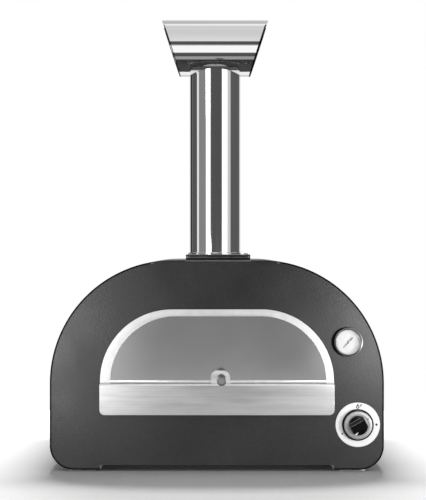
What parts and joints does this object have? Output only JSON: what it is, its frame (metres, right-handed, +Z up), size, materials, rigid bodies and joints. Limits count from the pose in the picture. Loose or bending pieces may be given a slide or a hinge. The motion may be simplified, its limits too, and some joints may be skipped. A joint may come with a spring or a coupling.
{
  "type": "portable pizza oven",
  "caption": "Tabletop gas pizza oven: arched dark steel body, arched mouth with a loose door and rod handle, control knob, thermometer, tall flue pipe with an open-ended cowl.",
  "frame": {"origin": "on the ground, under the middle of the whole oven's box", "axes": "+Z up, the mouth and the door face -Y, +X to the right of someone who faces the mouth"},
  "size_m": [0.76, 0.77, 1.0464],
  "materials": {
    "dark_paint": "fine textured matt coat",
    "black_steel": "matt black",
    "mirror_steel": "mirror-polished stainless",
    "brushed_steel": "brushed stainless",
    "satin_steel": "satin stainless",
    "zinc_steel": "zinc plated",
    "stone": "fire clay stone",
    "wool": "mineral wool blanket",
    "board": "calcium silicate board",
    "brass": "plain brass",
    "ceramic": "glazed ceramic",
    "black_plastic": "black moulding",
    "dial_white": "white enamel",
    "clear_glass": "clear flat glass",
    "pale_felt": "pale rubber strip"
  },
  "bodies": {
    "casing": {"outer_shell": "dark_paint", "front_plate": "dark_paint", "rear_cover": "dark_paint", "base_pan": "zinc_steel", "glide_left_1": "pale_felt", "glide_left_2": "pale_felt", "glide_right_1": "pale_felt", "glide_right_2": "pale_felt", "mouth_trim": "mirror_steel", "apron": "brushed_steel", "inner_vault": "satin_steel", "vault_insulation": "wool", "floor_tile_1": "stone", "floor_tile_2": "stone", "floor_tile_3": "stone", "floor_tile_4": "stone", "floor_board": "board", "floor_frame": "zinc_steel", "burner_tube": "satin_steel", "burner_cradle": "zinc_steel", "burner_guard": "satin_steel", "igniter_electrode": "ceramic", "gas_valve": "brass", "gas_pipe": "satin_steel", "inlet_pipe": "satin_steel", "gas_inlet": "brass", "knob_plate": "brushed_steel", "knob_ring": "black_plastic", "thermometer_case": "mirror_steel", "thermometer_dial": "dial_white", "thermometer_glass": "clear_glass", "thermometer_stem": "zinc_steel", "thermometer_nut": "brass", "collar_base": "black_steel", "collar_plate": "black_steel", "collar_screw_1": "zinc_steel", "collar_screw_2": "zinc_steel", "collar_screw_3": "zinc_steel", "collar_screw_4": "zinc_steel", "rear_screw_1": "zinc_steel", "rear_screw_2": "zinc_steel", "rear_screw_3": "zinc_steel", "rear_screw_4": "zinc_steel", "flue_ring": "mirror_steel", "flue_spigot": "zinc_steel"},
    "door": {"door_panel": "brushed_steel", "door_liner": "satin_steel", "door_insulation": "wool", "door_lip": "mirror_steel", "door_bracket": "mirror_steel", "handle_rod": "satin_steel", "handle_grip": "satin_steel", "handle_cap": "zinc_steel"},
    "stem": {"valve_stem": "brass"},
    "knob": {"knob_skirt": "satin_steel", "knob_grip": "black_plastic"},
    "needle": {"thermometer_needle": "black_steel"},
    "pipe": {"flue_pipe": "mirror_steel"},
    "cap": {"flue_cap": "mirror_steel"}
  },
  "joints": [
    {"name": "door_pull", "type": "slide", "parent": "casing", "child": "door", "axis": [0, -1, 0], "range_m": [0, 0.4]},
    {"name": "knob_turn", "type": "hinge", "parent": "casing", "child": "stem", "pos_m": [0.32038, -0.253, 0.10561], "axis": [0, -1, 0], "range_deg": [-32, 178]},
    {"name": "knob_push", "type": "slide", "parent": "stem", "child": "knob", "axis": [0, 1, 0], "range_m": [0, 0.004], "stiffness_N_per_m": 1500},
    {"name": "needle_turn", "type": "hinge", "parent": "casing", "child": "needle", "pos_m": [0.3005, -0.253, 0.294], "axis": [0.1736, 0.9848, 0], "range_deg": [0, 270]},
    {"name": "pipe_lift", "type": "slide", "parent": "casing", "child": "pipe", "axis": [0, 0, 1], "range_m": [0, 0.15]},
    {"name": "cap_lift", "type": "slide", "parent": "pipe", "child": "cap", "axis": [0, 0, 1], "range_m": [0, 0.1]}
  ]
}
